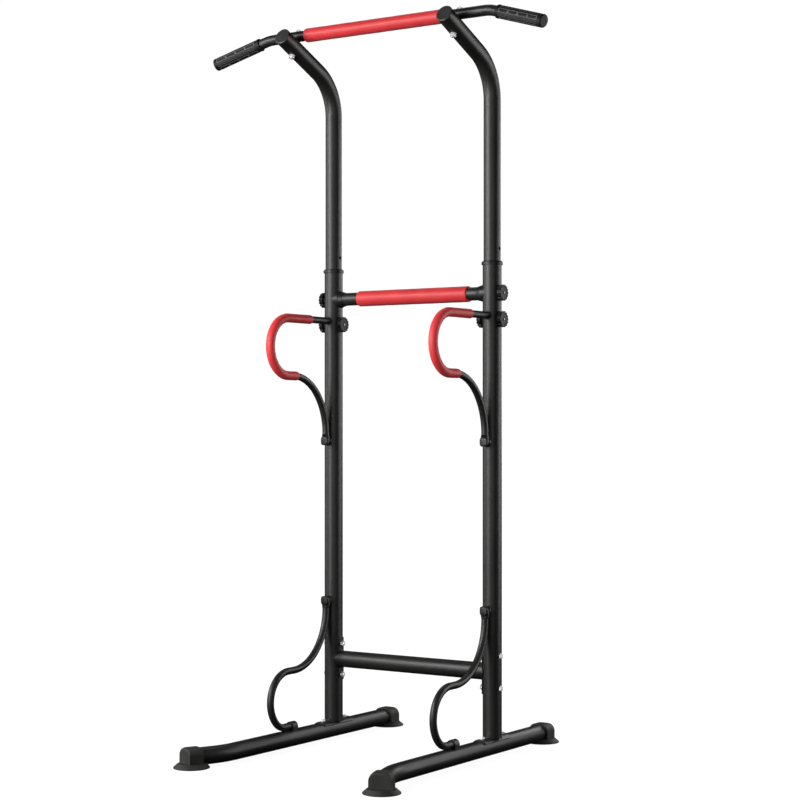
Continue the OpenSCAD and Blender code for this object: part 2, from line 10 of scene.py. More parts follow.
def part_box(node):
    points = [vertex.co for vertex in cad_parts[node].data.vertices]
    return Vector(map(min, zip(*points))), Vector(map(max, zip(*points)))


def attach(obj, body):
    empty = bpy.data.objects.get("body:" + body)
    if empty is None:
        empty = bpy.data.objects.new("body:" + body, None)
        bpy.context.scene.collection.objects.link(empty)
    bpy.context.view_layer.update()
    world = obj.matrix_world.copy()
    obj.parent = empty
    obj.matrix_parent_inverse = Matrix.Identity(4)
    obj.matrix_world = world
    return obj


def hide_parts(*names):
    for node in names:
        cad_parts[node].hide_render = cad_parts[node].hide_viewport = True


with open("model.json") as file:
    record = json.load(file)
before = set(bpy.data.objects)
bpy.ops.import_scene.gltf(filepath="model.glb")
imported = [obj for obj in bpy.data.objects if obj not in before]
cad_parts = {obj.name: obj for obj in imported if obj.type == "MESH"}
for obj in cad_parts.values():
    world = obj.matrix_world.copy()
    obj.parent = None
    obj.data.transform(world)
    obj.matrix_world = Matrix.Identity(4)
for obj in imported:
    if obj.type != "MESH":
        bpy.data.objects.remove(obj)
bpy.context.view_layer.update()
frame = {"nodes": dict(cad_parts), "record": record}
nodes = frame["nodes"]

MM = 0.001

# The sizes that the CAD model is built on, in metres
UPRIGHT_X = 253.5 * MM
UPRIGHT_Y = 149 * MM
LOWER_R = 25 * MM
UPPER_R = 22.5 * MM
BASE_R = 22.5 * MM
BASE_Z = 27 * MM
HANDLE_R = 9.5 * MM
MID_TUBE_R = 17.5 * MM
PULL_TUBE_R = 14 * MM
SNUG = 0.05 * MM
CORNER_Z = 1781.5 * MM
LEAN = math.radians(66)
BOLT_REACH = 196.8 * MM
UPPER_REACH = 252 * MM
BAR_LIFT = UPPER_R + PULL_TUBE_R
BAR_HALF = 330 * MM
BAR_DROOP = math.radians(19)
BAR_BEND_R = 100 * MM
BAR_END = 160 * MM
GRIP_LENGTH = 149 * MM
GRIP_R = 17 * MM
LOOP_REACH = 206 * MM
LOOP_R = 76.5 * MM
LEG_R1 = 140 * MM
LEG_R2 = 160 * MM
LEG_Y = 36.7 * MM
TAB_T = 5 * MM
HANDLE_Z = 1142.5 * MM
HANDLE_BOLT_Z = 815 * MM
BRACE_BOLT_Z = 380 * MM
DIP_FOAM_R = 12.25 * MM
DIP_FOAM_START = 108 * MM
DIP_FOAM_END_TURN = math.radians(5.5)
KNOB_Z = 1132.5 * MM
MID_BAR_Z = 1201 * MM
LOWER_TOP = 1274 * MM
LOW_BAR_R = 22.5 * MM
LOW_BAR_Z = 219 * MM
LOW_BOLT_SPACING = 83.5 * MM
FLANGE_R = BASE_R + 3.05 * MM
FLANGE_BOLT_Y = 50 * MM
PLATE_R = LOWER_R + 2.55 * MM
NUT_ACROSS = 13 * MM
NUT_CORNER_R = NUT_ACROSS / 2 / math.cos(math.pi / 6)
NUT_H = 6.5 * MM
BOLT_R = 4 * MM
BOLT_HEAD_H = 4 * MM
FOOT_Y = 410 * MM
TOE_ANGLE = math.radians(22)
TOE_X = 288.87 * MM


# Meshes ------------------------------------------------------------------------------------

def rounded(points, radii, steps=4, closed=False):
    """A polyline of (a, b) points with its corners rounded to the given radii."""
    out = []
    count = len(points)
    for i, point in enumerate(points):
        radius = radii[i]
        ends = not closed and i in (0, count - 1)
        if ends or radius <= 0:
            out.append(tuple(point))
            continue
        corner = Vector(point)
        before = Vector(points[i - 1]) - corner
        after = Vector(points[(i + 1) % count]) - corner
        half = before.angle(after) / 2
        cut = min(radius / math.tan(half), before.length * 0.49, after.length * 0.49)
        start = corner + before.normalized() * cut
        end = corner + after.normalized() * cut
        for k in range(steps + 1):
            t = k / steps
            bend = start * (1 - t) ** 2 + corner * 2 * t * (1 - t) + end * t * t
            out.append(tuple(bend))
    return out


def grid_faces(rows, columns, wrap_rows=False, offset=0):
    """Quads between rings of points. Each ring is closed; wrap_rows joins the last to the first."""
    faces = []
    for i in range(rows if wrap_rows else rows - 1):
        a = offset + i * columns
        b = offset + (i + 1) % rows * columns
        for j in range(columns):
            k = (j + 1) % columns
            faces.append((a + j, a + k, b + k, b + j))
    return faces


def revolved(profile, segments=64, closed=False, radius_at=None):
    """Points and faces of (radius, z) profile points turned about Z.

    closed makes a ring from a closed profile. Otherwise both ends lie on the axis.
    radius_at(radius, z, angle) may change a point's radius.
    """
    ring = profile if closed else profile[1:-1]
    angles = np.linspace(0, 2 * math.pi, segments, endpoint=False)
    points = []
    for radius, z in ring:
        for angle in angles:
            r = radius_at(radius, z, angle) if radius_at else radius
            points.append((r * math.cos(angle), r * math.sin(angle), z))
    faces = grid_faces(len(ring), segments, wrap_rows=closed)
    if not closed:
        start = len(points)
        points.append((0, 0, profile[0][1]))
        points.append((0, 0, profile[-1][1]))
        last = (len(ring) - 1) * segments
        for j in range(segments):
            k = (j + 1) % segments
            faces.append((start, k, j))
            faces.append((start + 1, last + j, last + k))
    return np.array(points, float), faces


def swept(path, radius_at, sides=14, closed=False):
    """A rod along the points of a path; radius_at(i) is its radius at point i."""
    count = len(path)
    points = []
    for i, here in enumerate(path):
        before = path[i - 1] if closed or i else here
        after = path[(i + 1) % count] if closed or i < count - 1 else here
        along = (after - before).normalized()
        across = along.orthogonal() if i == 0 else (side - along * side.dot(along))
        side = across.normalized()
        up = along.cross(side)
        for k in range(sides):
            angle = 2 * math.pi * k / sides
            points.append(tuple(here + (side * math.cos(angle) + up * math.sin(angle)) * radius_at(i)))
    faces = grid_faces(count, sides, wrap_rows=closed)
    if not closed:
        last = (count - 1) * sides
        faces.append(tuple(reversed(range(sides))))
        faces.append(tuple(last + k for k in range(sides)))
    return np.array(points, float), faces


def placed(shape, matrix):
    """The shape, moved by a matrix."""
    points, faces = shape
    about_origin = np.array(matrix.to_3x3()) @ points.T
    return about_origin.T + np.array(matrix.translation), faces


def joined(shapes):
    """Several shapes as one."""
    points, faces, start = [], [], 0
    for shape_points, shape_faces in shapes:
        points.append(shape_points)
        for face in shape_faces:
            faces.append(tuple(start + i for i in face))
        start += len(shape_points)
    return np.vstack(points), faces


def outward(mesh):
    """Turns every closed shell's faces outwards."""
    bm = bmesh.new()
    bm.from_mesh(mesh)
    bmesh.ops.recalc_face_normals(bm, faces=bm.faces)
    bm.to_mesh(mesh)
    bm.free()


def new_mesh(name, shape):
    """A mesh from a shape, which is an array of points and a list of faces."""
    points, faces = shape
    mesh = bpy.data.meshes.new(name)
    mesh.from_pydata([tuple(p) for p in points], [], faces)
    mesh.validate()
    outward(mesh)
    return mesh


def piece(name, shape, body, material, stands_for=(), sharp=30):
    """A new piece on a body, in the shared frame, smooth but for edges sharper than an angle."""
    mesh = shape if isinstance(shape, bpy.types.Mesh) else new_mesh(name, shape)
    mesh.name = name
    obj = bpy.data.objects.new(name, mesh)
    bpy.context.scene.collection.objects.link(obj)
    mesh.materials.clear()
    mesh.materials.append(material)
    mesh.shade_smooth()
    mesh.set_sharp_from_angle(angle=math.radians(sharp))
    even = obj.modifiers.new("even_normals", "WEIGHTED_NORMAL")
    even.keep_sharp = True
    even.weight = 100
    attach(obj, body)
    if stands_for:
        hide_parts(*stands_for)
    return obj


def moved(x, y, z):
    """A shift, as a matrix."""
    return Matrix.Translation((x, y, z))


def turned(axis, degrees):
    """A turn about an axis, as a matrix."""
    return Matrix.Rotation(math.radians(degrees), 4, axis)


def mirrored(side):
    """The right-hand side's own matrix for side 1, and its mirror image for side -1."""
    return Matrix.Diagonal((side, 1, 1, 1))


def walk(start, heading, steps, spacing):
    """Points and headings along a path of (length,) lines and (radius, turn) bends in the YZ plane."""
    y, z = start
    angle = heading
    out = [(y, z, angle)]
    for step in steps:
        bend = len(step) == 2
        length = abs(step[0] * step[1]) if bend else step[0]
        count = max(1, round(length / spacing))
        for _ in range(count):
            turn = step[1] / count if bend else 0
            chord = 2 * step[0] * math.sin(abs(turn) / 2) if bend else length / count
            y += chord * math.cos(angle + turn / 2)
            z += chord * math.sin(angle + turn / 2)
            angle += turn
            out.append((y, z, angle))
    return out


# Materials ---------------------------------------------------------------------------------

def new_material(name, **values):
    """A material with constant values set on its shader; an underscore stands for a space."""
    material = bpy.data.materials.new(name)
    material.use_nodes = True
    tree = material.node_tree
    shader = tree.nodes["Principled BSDF"]
    for socket, value in values.items():
        shader.inputs[socket.replace("_", " ")].default_value = value
    return material, tree, shader


def coordinates(tree, stretch=(1, 1, 1)):
    """The object's own coordinates, in metres, scaled by stretch."""
    source = tree.nodes.new("ShaderNodeTexCoord")
    mapping = tree.nodes.new("ShaderNodeMapping")
    mapping.inputs["Scale"].default_value = stretch
    tree.links.new(source.outputs["Object"], mapping.inputs["Vector"])
    return mapping.outputs["Vector"]


def noise(tree, vector, scale, detail=2.0, roughness=0.5):
    """A cloudy value about 0.5, finer as the scale rises."""
    node = tree.nodes.new("ShaderNodeTexNoise")
    node.inputs["Scale"].default_value = scale
    node.inputs["Detail"].default_value = detail
    node.inputs["Roughness"].default_value = roughness
    tree.links.new(vector, node.inputs["Vector"])
    return node.outputs["Fac"]


def pits(tree, vector, scale):
    """The distance to the nearest of many scattered points, for pores."""
    node = tree.nodes.new("ShaderNodeTexVoronoi")
    node.inputs["Scale"].default_value = scale
    tree.links.new(vector, node.inputs["Vector"])
    return node.outputs["Distance"]


def ramp(tree, value, stops):
    """A colour that runs through (place, colour) stops as the value rises."""
    node = tree.nodes.new("ShaderNodeValToRGB")
    elements = node.color_ramp.elements
    while len(elements) < len(stops):
        elements.new(0.5)
    for element, (place, colour) in zip(elements, stops):
        element.position = place
        element.color = (*colour, 1)
    tree.links.new(value, node.inputs["Fac"])
    return node.outputs["Color"]


def spread(tree, value, low, high, from_low=0.3, from_high=0.7):
    """The value between from_low and from_high, spread out from low to high."""
    node = tree.nodes.new("ShaderNodeMapRange")
    node.inputs["From Min"].default_value = from_low
    node.inputs["From Max"].default_value = from_high
    node.inputs["To Min"].default_value = low
    node.inputs["To Max"].default_value = high
    tree.links.new(value, node.inputs["Value"])
    return node.outputs["Result"]


def mixed(tree, factor, a, b):
    """A colour between a and b, each a colour or a socket."""
    node = tree.nodes.new("ShaderNodeMix")
    node.data_type = "RGBA"
    sockets = [s for s in node.inputs if s.type == "RGBA"]
    fac = next(s for s in node.inputs if s.name == "Factor" and s.type == "VALUE")
    for socket, value in zip(sockets, (a, b)):
        if isinstance(value, bpy.types.NodeSocket):
            tree.links.new(value, socket)
        else:
            socket.default_value = (*value, 1)
    tree.links.new(factor, fac)
    return next(s for s in node.outputs if s.type == "RGBA")


def bumped(tree, shader, layers):
    """Stacks bump layers of (height, strength, distance) on the shader's normal."""
    normal = None
    for height, strength, distance in layers:
        node = tree.nodes.new("ShaderNodeBump")
        node.inputs["Strength"].default_value = strength
        node.inputs["Distance"].default_value = distance
        tree.links.new(height, node.inputs["Height"])
        if normal is not None:
            tree.links.new(normal, node.inputs["Normal"])
        normal = node.outputs["Normal"]
    tree.links.new(normal, shader.inputs["Normal"])


def powder_coat():
    """Satin black powder coat: a fine pebbled skin with faint cloudiness."""
    material, tree, shader = new_material("powder_coat", Metallic=0.0, Specular_IOR_Level=0.5)
    where = coordinates(tree)
    pebbles = noise(tree, where, 950, 2.5, 0.6)
    clouds = noise(tree, where, 9, 3)
    dark = ramp(tree, clouds, [(0.3, (0.012, 0.012, 0.0115)), (0.7, (0.020, 0.020, 0.019))])
    flecks = spread(tree, pebbles, 0, 1, 0.56, 0.72)
    colour = mixed(tree, flecks, dark, (0.050, 0.050, 0.048))
    tree.links.new(colour, shader.inputs["Base Color"])
    tree.links.new(spread(tree, pebbles, 0.46, 0.34), shader.inputs["Roughness"])
    bumped(tree, shader, [
        (pebbles, 0.55, 0.25 * MM), (noise(tree, where, 260, 2), 0.25, 0.25 * MM)
    ])
    return material


def moulded_plastic(name="moulded_plastic", level=0.4, painted_light_scale=1.0):
    """Matt black moulded plastic with a fine spark-eroded grain.

    level is its specular level, and the last argument scales the colour, painting light in above 1 and
    shade in below 1.
    """
    material, tree, shader = new_material(name, Specular_IOR_Level=level)
    where = coordinates(tree)
    grain = noise(tree, where, 1600, 2)
    clouds = noise(tree, where, 30, 2)
    # Scaled colour: painted light above 1, painted shade below 1.
    low, high = 0.011 * painted_light_scale, 0.017 * painted_light_scale
    colour = ramp(tree, clouds, [(0.3, (low, low, low)), (0.7, (high, high, high))])
    tree.links.new(colour, shader.inputs["Base Color"])
    tree.links.new(spread(tree, grain, 0.32, 0.44), shader.inputs["Roughness"])
    bumped(tree, shader, [(grain, 0.35, 0.12 * MM)])
    return material


def black_rubber():
    """Black rubber: dull, faintly bloomed, with a soft matt skin."""
    material, tree, shader = new_material("black_rubber", Specular_IOR_Level=0.4)
    where = coordinates(tree)
    grain = noise(tree, where, 1300, 3)
    bloom = noise(tree, where, 22, 4, 0.6)
    colour = ramp(tree, bloom, [(0.3, (0.026, 0.026, 0.025)), (0.75, (0.048, 0.048, 0.046))])
    tree.links.new(colour, shader.inputs["Base Color"])
    tree.links.new(spread(tree, bloom, 0.52, 0.70), shader.inputs["Roughness"])
    bumped(tree, shader, [(grain, 0.4, 0.15 * MM)])
    return material


def red_foam():
    """Red foam rubber: a soft matt skin with fine pores, their insides darkened with painted shade."""
    material, tree, shader = new_material(
        "red_foam", Specular_IOR_Level=0.4, Sheen_Weight=0.1, Sheen_Roughness=0.5
    )
    where = coordinates(tree)
    pores = pits(tree, where, 1100)
    skin = noise(tree, where, 420, 3, 0.6)
    clouds = noise(tree, where, 16, 3)
    base = ramp(tree, clouds, [(0.3, (0.72, 0.034, 0.040)), (0.7, (0.82, 0.046, 0.052))])
    # Painted shade: the colour darkens towards each pore's centre, as shade in the hollow.
    colour = mixed(tree, spread(tree, pores, 1, 0, 0.0, 0.22), base, (0.40, 0.013, 0.017))
    tree.links.new(colour, shader.inputs["Base Color"])
    tree.links.new(spread(tree, skin, 0.40, 0.52), shader.inputs["Roughness"])
    bumped(tree, shader, [
        (spread(tree, pores, 0, 1, 0.0, 0.5), 0.25, 0.2 * MM), (skin, 0.15, 0.3 * MM)
    ])
    return material


def bright_zinc():
    """Zinc plate: bright, slightly mottled, with fine rolling lines."""
    material, tree, shader = new_material("bright_zinc", Metallic=0.55, Specular_IOR_Level=0.6)
    where = coordinates(tree)
    mottle = noise(tree, where, 240, 3)
    lines = noise(tree, coordinates(tree, (1, 1, 14)), 500, 2)
    colour = ramp(tree, mottle, [(0.3, (0.70, 0.71, 0.72)), (0.7, (0.86, 0.86, 0.85))])
    tree.links.new(colour, shader.inputs["Base Color"])
    tree.links.new(spread(tree, mottle, 0.26, 0.42), shader.inputs["Roughness"])
    bumped(tree, shader, [(lines, 0.2, 0.05 * MM)])
    return material


def dull_zinc():
    """Zinc on a screw's end that has gone grey and dull."""
    material, tree, shader = new_material("dull_zinc", Metallic=0.6)
    where = coordinates(tree)
    mottle = noise(tree, where, 700, 3)
    colour = ramp(tree, mottle, [(0.3, (0.34, 0.34, 0.345)), (0.7, (0.48, 0.48, 0.48))])
    tree.links.new(colour, shader.inputs["Base Color"])
    tree.links.new(spread(tree, mottle, 0.48, 0.62), shader.inputs["Roughness"])
    bumped(tree, shader, [(mottle, 0.2, 0.05 * MM)])
    return material


def grip_rubber():
    """The rubber of the grips: its raised pattern, held in a mesh attribute, is painted paler as a
    highlight.
    """
    material, tree, shader = new_material("grip_rubber", Specular_IOR_Level=0.25)
    where = coordinates(tree)
    grain = noise(tree, where, 1300, 3)
    wear = noise(tree, where, 60, 3)
    base = ramp(tree, wear, [(0.3, (0.008, 0.008, 0.008)), (0.7, (0.013, 0.013, 0.013))])
    # Painted highlight: the paler colour of the raised pattern stands in for light on its edges.
    painted_highlight_colour = ramp(tree, wear, [(0.3, (0.13, 0.13, 0.128)), (0.7, (0.19, 0.19, 0.186))])
    ridge = tree.nodes.new("ShaderNodeAttribute")
    ridge.attribute_name = "ridge"
    colour = mixed(tree, spread(tree, ridge.outputs["Fac"], 0, 1, 0.15, 0.95), base, painted_highlight_colour)
    tree.links.new(colour, shader.inputs["Base Color"])
    tree.links.new(spread(tree, grain, 0.45, 0.62), shader.inputs["Roughness"])
    bumped(tree, shader, [(grain, 0.35, 0.12 * MM)])
    return material


STEEL = powder_coat()
PLASTIC = moulded_plastic()
# A darker copy of the plastic for the knobs: painted shade on their faces.
SHADED_KNOB_PLASTIC = moulded_plastic("knob_plastic_painted_shade", level=0.2, painted_light_scale=0.7)
# A paler copy of the plastic for the tube end plugs: painted light on their ends.
LIT_PLUG_PLASTIC = moulded_plastic("plug_plastic_painted_light", level=0.5, painted_light_scale=2.6)
RUBBER = black_rubber()
FOAM = red_foam()
ZINC = bright_zinc()
DULL_ZINC = dull_zinc()
GRIP_RUBBER = grip_rubber()
BY_SLOT = {
    "black_steel": STEEL, "black_plastic": PLASTIC, "black_rubber": RUBBER, "red_foam": FOAM,
    "zinc_steel": ZINC
}


# CAD nodes ---------------------------------------------------------------------------------

def smooth_group():
    """A node group that joins a CAD mesh's faces and keeps only its real edges sharp."""
    group = bpy.data.node_groups.new("join_faces", "GeometryNodeTree")
    group.interface.new_socket("Geometry", in_out="INPUT", socket_type="NodeSocketGeometry")
    group.interface.new_socket("Geometry", in_out="OUTPUT", socket_type="NodeSocketGeometry")
    make = group.nodes.new
    link = group.links.new
    source = make("NodeGroupInput")
    result = make("NodeGroupOutput")
    merge = make("GeometryNodeMergeByDistance")
    merge.inputs["Distance"].default_value = 0.004 * MM
    smooth = make("GeometryNodeSetShadeSmooth")
    edge = make("GeometryNodeInputMeshEdgeAngle")
    compare = make("FunctionNodeCompare")
    compare.operation = "GREATER_THAN"
    compare.inputs["B"].default_value = math.radians(32)
    sharpen = make("GeometryNodeSetShadeSmooth")
    sharpen.domain = "EDGE"
    sharpen.inputs["Shade Smooth"].default_value = False
    link(source.outputs[0], merge.inputs["Geometry"])
    link(merge.outputs["Geometry"], smooth.inputs["Geometry"])
    link(smooth.outputs["Geometry"], sharpen.inputs["Geometry"])
    link(edge.outputs["Unsigned Angle"], compare.inputs["A"])
    link(compare.outputs["Result"], sharpen.inputs["Selection"])
    link(sharpen.outputs["Geometry"], result.inputs[0])
    return group


JOIN_FACES = smooth_group()
slot_of = {s["node"]: s["material_slot"] for s in frame["record"]["subparts"]}


def finish_node(name):
    """The node's material, and clean shading across the seams of its CAD faces."""
    obj = nodes[name]
    material = DULL_ZINC if name.startswith("stud_") else BY_SLOT[slot_of[name]]
    obj.data.materials.clear()
    obj.data.materials.append(material)
    joiner = obj.modifiers.new("join_faces", "NODES")
    joiner.node_group = JOIN_FACES
    even = obj.modifiers.new("even_normals", "WEIGHTED_NORMAL")
    even.keep_sharp = True
    even.weight = 50


for node_name in nodes:
    finish_node(node_name)


# Foam --------------------------------------------------------------------------------------

FOAM_END_R = 3.2 * MM
FOAM_RIPPLE = 0.07 * MM
RIPPLES_PER_M = (61, 149)


def foam_sleeve(path, outer_r, inner_r, sides=72):
    """A foam sleeve along (point, across, up) path frames, with soft ends and a hollow middle."""
    end_r = min(FOAM_END_R, (outer_r - inner_r) * 0.85)
    count = len(path)
    spacing = (path[1][0] - path[0][0]).length
    end_rows = []
    for k in range(4, -1, -1):
        turn = math.pi / 2 * k / 4
        at = end_r * (1 - math.sin(turn)) / spacing
        end_rows.append((at, outer_r - end_r * (1 - math.cos(turn))))
    body = [i for i in range(count) if min(i, count - 1 - i) * spacing > end_r * 1.2]
    profile = [(0, inner_r), *end_rows]
    profile += [(i, outer_r) for i in body]
    profile += [(count - 1 - at, r) for at, r in reversed(end_rows)]
    profile += [(count - 1, inner_r)]
    profile += [(count - 1 - i, inner_r) for i in range(1, count - 1)]
    points = []
    for at, radius in profile:
        low = min(int(at), count - 2)
        share = at - low
        middle = path[low][0].lerp(path[low + 1][0], share)
        across = path[low][1].lerp(path[low + 1][1], share)
        up = path[low][2].lerp(path[low + 1][2], share)
        outside = radius > inner_r + 0.1 * MM
        for k in range(sides):
            angle = 2 * math.pi * k / sides
            r = radius
            if outside:
                long_wave = math.sin(at * spacing * RIPPLES_PER_M[0] + 2 * angle)
                short_wave = math.sin(at * spacing * RIPPLES_PER_M[1] - angle)
                r -= FOAM_RIPPLE * (2 + long_wave + short_wave)
            points.append(tuple(middle + (across * math.cos(angle) + up * math.sin(angle)) * r))
    return np.array(points), grid_faces(len(profile), sides, wrap_rows=True)


def straight_path(centre, half, spacing):
    """Path frames along X, for foam_sleeve."""
    count = round(2 * half / spacing)
    across = Vector((0, 1, 0))
    up = Vector((0, 0, 1))
    return [
        (centre + Vector((-half + 2 * half * i / count, 0, 0)), across, up) for i in range(count + 1)
    ]


def add_foam(name, shape, body, node):
    """A foam piece in place of a CAD node."""
    obj = piece(name, shape, body, FOAM, [node], sharp=60)


for name, node, body, tube_r in (
    ("pull_up_pad", "pull_up_foam", "upper_frame", PULL_TUBE_R),
    ("mid_bar_pad", "mid_foam", "base_frame", MID_TUBE_R),
):
    low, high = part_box(node)
    path = straight_path((low + high) / 2, (high.x - low.x) / 2, 4 * MM)
    add_foam(name, foam_sleeve(path, (high.y - low.y) / 2, tube_r + SNUG), body, node)

leg_depth = LEG_R1 * math.sin(math.pi / 4) + LEG_R2 * (1 - math.cos(math.pi / 4))
loop_straight = LOOP_REACH - LEG_Y - leg_depth
for side, word in ((-1, "left"), (1, "right")):
    steps = [
        (LOOP_REACH - DIP_FOAM_START,), (LOOP_R, math.pi), (loop_straight,),
        (LEG_R1, -DIP_FOAM_END_TURN)
    ]
    track = walk((UPRIGHT_Y - DIP_FOAM_START, HANDLE_Z), math.pi, steps, 2.5 * MM)
    path = [
        (
            Vector((side * UPRIGHT_X, y, z)), Vector((1, 0, 0)),
            Vector((0, -math.sin(angle), math.cos(angle)))
        )
        for y, z, angle in track
    ]
    shape = foam_sleeve(path, DIP_FOAM_R, HANDLE_R + SNUG, 48)
    add_foam("dip_pad_" + word, shape, "base_frame", "dip_foam_" + word)


# Grips -------------------------------------------------------------------------------------

GRIP_BANDS = 4
PANEL_SHARE = 0.46
PANELS = 4
PATTERN_START = 12 * MM
PATTERN_END = GRIP_LENGTH - 12 * MM
PATTERN_FADE = 5 * MM
GRIP_TURN = math.radians(-100)
GRIP_END_R = 6 * MM
GRIP_END_T = 4 * MM
RIDGE_W = 1.5 * MM
RIB_W = 2 * MM
RIDGE_H = 0.7 * MM
RIDGE_INSET = 1.2 * MM


def at_bar(side):
    """The middle of the pull-up bar, with +X along the bar to that side and +Z away from the frame."""
    lean = Matrix.Rotation(LEAN, 4, "X")
    lie = Matrix.Rotation(-math.pi / 2, 4, "X")
    place = moved(0, UPRIGHT_Y, CORNER_Z) @ lean @ moved(0, BAR_LIFT, BOLT_REACH) @ lie
    return mirrored(side) @ place


def at_grip(side):
    """The closed end of a grip, with +Z outwards along its axis."""
    along = Matrix.Rotation(math.pi / 2, 4, "Y")
    bend = moved(BAR_BEND_R * (1 - math.cos(BAR_DROOP)), 0, BAR_HALF + BAR_BEND_R * math.sin(BAR_DROOP))
    droop = Matrix.Rotation(BAR_DROOP, 4, "Y")
    return at_bar(side) @ along @ bend @ droop @ moved(0, 0, BAR_END)


def step_up(value, low, high):
    """0 below low and 1 above high, with a smooth rise between them."""
    share = min(1, max(0, (value - low) / (high - low)))
    return share * share * (3 - 2 * share)


def plateau(value, start, end, edge):
    """1 between start and end, falling to 0 outside over the edge's width."""
    return step_up(value, start - edge, start) * (1 - step_up(value, end, end + edge))


def line_at(value, place, width):
    """1 within half the width of the place, falling to 0 over half the width again."""
    off = abs(value - place)
    return 1 - step_up(off, width / 2, width)


def ridges(depth, angle):
    """The height and the painted highlight of the raised pattern at a depth from the grip's end, 0 to 1.

    Bands of framed panels take turns with bands of two long ribs.
    """
    inside = plateau(depth, PATTERN_START, PATTERN_END, 0.6 * MM)
    width = 2 * math.pi * GRIP_R / GRIP_BANDS
    turn = angle / (2 * math.pi) * GRIP_BANDS
    across = (turn - math.floor(turn)) * width
    panel_w = PANEL_SHARE * width
    if across > panel_w:
        gap = (width - panel_w) / 3
        rib = max(line_at(across, panel_w + k * gap, RIB_W) for k in (1, 2)) * inside
        # The second value is the rib's painted highlight.
        return rib, 0.3 * rib
    length = (PATTERN_END - PATTERN_START) / PANELS
    along = (depth - PATTERN_START) % length
    side_at = (RIDGE_INSET, panel_w - RIDGE_INSET)
    bar_at = (RIDGE_INSET, length - RIDGE_INSET)
    sides = max(line_at(across, place, RIDGE_W) for place in side_at)
    bars = max(line_at(along, place, RIDGE_W) for place in bar_at)
    sides *= plateau(along, *bar_at, 0.3 * MM)
    bars *= plateau(across, *side_at, 0.3 * MM)
    height = max(sides, bars) * inside
    # The second value is the panel frames' painted highlight.
    return height, max(0.75 * sides, bars) * inside


def grip_profile():
    """The grip's outline: a closed round end, a long patterned body and a collar at its mouth."""
    inner = PULL_TUBE_R + SNUG
    body_start = -9 * MM
    mouth = -GRIP_LENGTH
    collar_r = GRIP_R + 0.5 * MM
    outer = rounded([(0, 0), (GRIP_R, 0), (GRIP_R, body_start)], [0, GRIP_END_R, 0], 10)
    outer += [(GRIP_R, z) for z in np.linspace(body_start, mouth + 8 * MM, 240)[1:]]
    outer += rounded(
        [
            (GRIP_R, mouth + 7 * MM), (GRIP_R, mouth + 5 * MM), (collar_r, mouth + 4 * MM),
            (collar_r, mouth), (inner, mouth)
        ],
        [0, 0.6 * MM, 0.9 * MM, 1.2 * MM, 0], 4
    )
    return outer + [(inner, -GRIP_END_T), (0, -GRIP_END_T)]


def add_grip(side, word):
    """A grip with its pattern cut into the rubber, and each point's painted highlight for its material.
    """
    painted_highlight = []

    def radius_at(radius, z, angle):
        zone = plateau(-z, PATTERN_START - 1 * MM, PATTERN_END + 1 * MM, PATTERN_FADE)
        if abs(radius - GRIP_R) > 0.01 * MM or zone == 0:
            painted_highlight.append(0)
            return radius
        height, pale = ridges(-z, angle - GRIP_TURN)
        painted_highlight.append(pale)
        return radius - RIDGE_H * (1 - height) * zone

    shape = revolved(grip_profile(), 216, radius_at=radius_at)
    painted_highlight += [0] * (len(shape[0]) - len(painted_highlight))
    grip = piece("rubber_grip_" + word, placed(shape, at_grip(side)), "upper_frame", GRIP_RUBBER,
                 ["grip_" + word], sharp=50)
    # This attribute carries each point's painted highlight to the grip's material.
    ridge = grip.data.attributes.new("ridge", "FLOAT", "POINT")
    ridge.data.foreach_set("value", painted_highlight)


for side, word in ((-1, "left"), (1, "right")):
    add_grip(side, word)


# Knobs -------------------------------------------------------------------------------------

KNOB_R = 21 * MM
KNOB_T = 11.5 * MM
KNOB_BASE = LOWER_R + 0.3 * MM
RECESS_R = 12 * MM
FLUTES = 14
FLUTE_DEPTH = 2.3 * MM
FLUTE_FROM_R = 15.6 * MM
FLUTE_FULL_R = 20 * MM
FLUTE_FLOOR_W = 1.3 * MM
FLUTE_MOUTH_W = 3.0 * MM
# Name, side of the frame, the way its face looks along X, and height
KNOBS = (
    ("mid_left", -1, -1, MID_BAR_Z), ("mid_right", 1, 1, MID_BAR_Z),
    ("left_outer", -1, -1, KNOB_Z), ("left_inner", -1, 1, KNOB_Z),
    ("right_outer", 1, 1, KNOB_Z), ("right_inner", 1, -1, KNOB_Z)
)


def knob_shape():
    """A fluted knob about Z, its recess at the back and a shallow dish round the screw's pin."""
    face = KNOB_BASE + KNOB_T
    dish = face - 0.7 * MM
    rim = face + 0.2 * MM
    floor = KNOB_BASE + 6.5 * MM
    pocket_low = floor + 0.45 * MM
    pocket_high = floor + 3.6 * MM
    back_hole_r = 5.05 * MM
    pocket_r = 6.55 * MM
    pin_hole_r = 2.65 * MM
    profile = rounded(
        [
            (back_hole_r, floor), (RECESS_R, floor), (RECESS_R, KNOB_BASE), (KNOB_R, KNOB_BASE),
            (KNOB_R, face), (15.5 * MM, face), (14.5 * MM, dish),
            (4.6 * MM, dish), (3.8 * MM, rim), (pin_hole_r, rim),
            (pin_hole_r, pocket_high), (pocket_r, pocket_high),
            (pocket_r, pocket_low), (back_hole_r, pocket_low)
        ],
        [
            0, 0, 0.4 * MM, 0.8 * MM, 1.2 * MM, 0.5 * MM, 0.5 * MM, 0.4 * MM, 0.3 * MM, 0,
            0, 0, 0, 0
        ],
        4, closed=True
    )

    def radius_at(radius, z, angle):
        if radius < FLUTE_FROM_R:
            return radius
        turn = angle / (2 * math.pi) * FLUTES
        off = abs(turn - round(turn)) / FLUTES * 2 * math.pi * KNOB_R
        notch = 1 - step_up(off, FLUTE_FLOOR_W, FLUTE_MOUTH_W)
        reach = step_up(radius, FLUTE_FROM_R, FLUTE_FULL_R)
        return radius - FLUTE_DEPTH * notch * reach

    return revolved(profile, 240, closed=True, radius_at=radius_at)


